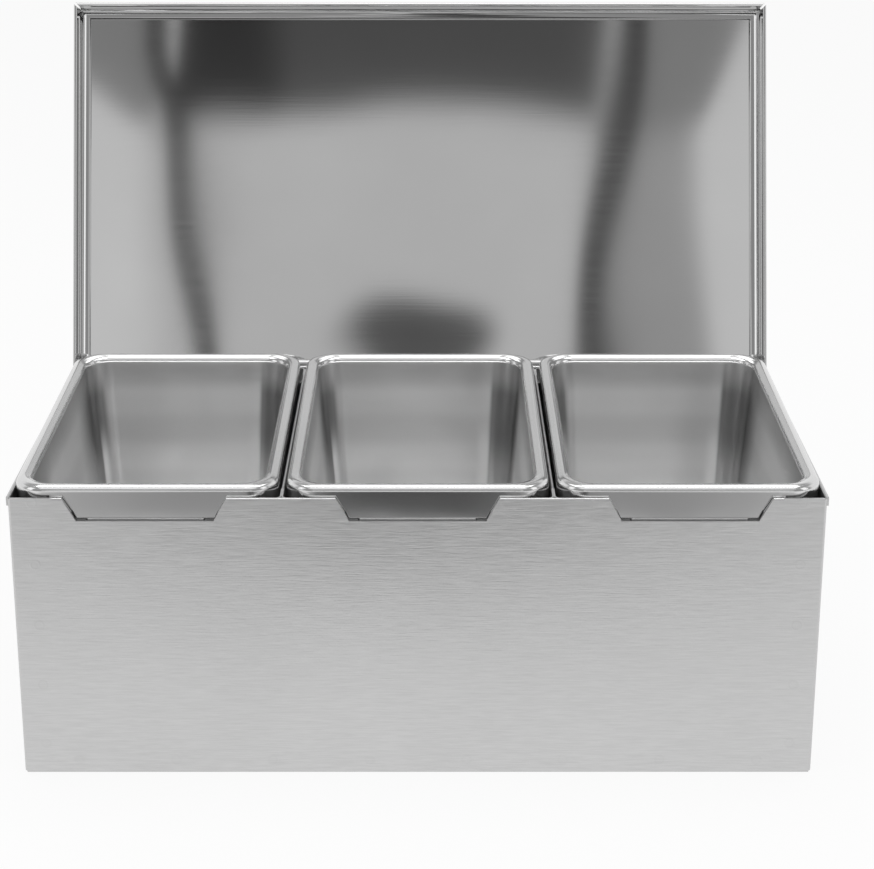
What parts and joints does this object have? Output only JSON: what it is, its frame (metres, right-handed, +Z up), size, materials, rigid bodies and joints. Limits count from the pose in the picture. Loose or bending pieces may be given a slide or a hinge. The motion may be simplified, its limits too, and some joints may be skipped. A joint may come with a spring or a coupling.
{
  "type": "condiment caddy with hinged lid",
  "caption": "Low folded sheet-metal condiment caddy with lift-out rimmed pans side by side, finger notches in its front wall and a full-width hinged lid.",
  "frame": {"origin": "centre of the flat underside, under the middle pan", "axes": "+Z up; front wall with the finger notches faces -Y; +X to the right seen from the front"},
  "size_m": [0.3222, 0.2272, 0.2785],
  "materials": {
    "brushed_sheet": "stainless sheet with a fine horizontal brush grain",
    "plain_sheet": "plain satin mill-finish stainless sheet",
    "drawn_pan": "satin deep-drawn stainless steel with polished rims",
    "bright_sheet": "smooth bright-annealed stainless sheet with soft reflections",
    "hinge_steel": "plain stainless steel"
  },
  "bodies": {
    "box": {"front_panel": "brushed_sheet", "rear_panel": "brushed_sheet", "left_side_panel": "brushed_sheet", "right_side_panel": "brushed_sheet", "bottom_panel": "plain_sheet", "front_pan_rail": "plain_sheet", "rear_pan_rail": "plain_sheet", "left_divider": "plain_sheet", "right_divider": "plain_sheet", "hinge_body_leaf": "hinge_steel", "hinge_pin": "hinge_steel"},
    "lid": {"lid": "bright_sheet", "hinge_lid_leaf": "hinge_steel"},
    "pan_left": {"pan_left": "drawn_pan"},
    "pan_middle": {"pan_middle": "drawn_pan"},
    "pan_right": {"pan_right": "drawn_pan"}
  },
  "joints": [
    {"name": "lid_hinge", "type": "hinge", "parent": "box", "child": "lid", "pos_m": [0, 0.0832, 0.119], "axis": [-1, 0, 0], "range_deg": [-108, 0]},
    {"name": "pan_left_lift", "type": "slide", "parent": "box", "child": "pan_left", "axis": [0, 0, 1], "range_m": [0, 0.115]},
    {"name": "pan_middle_lift", "type": "slide", "parent": "box", "child": "pan_middle", "axis": [0, 0, 1], "range_m": [0, 0.115]},
    {"name": "pan_right_lift", "type": "slide", "parent": "box", "child": "pan_right", "axis": [0, 0, 1], "range_m": [0, 0.115]}
  ]
}
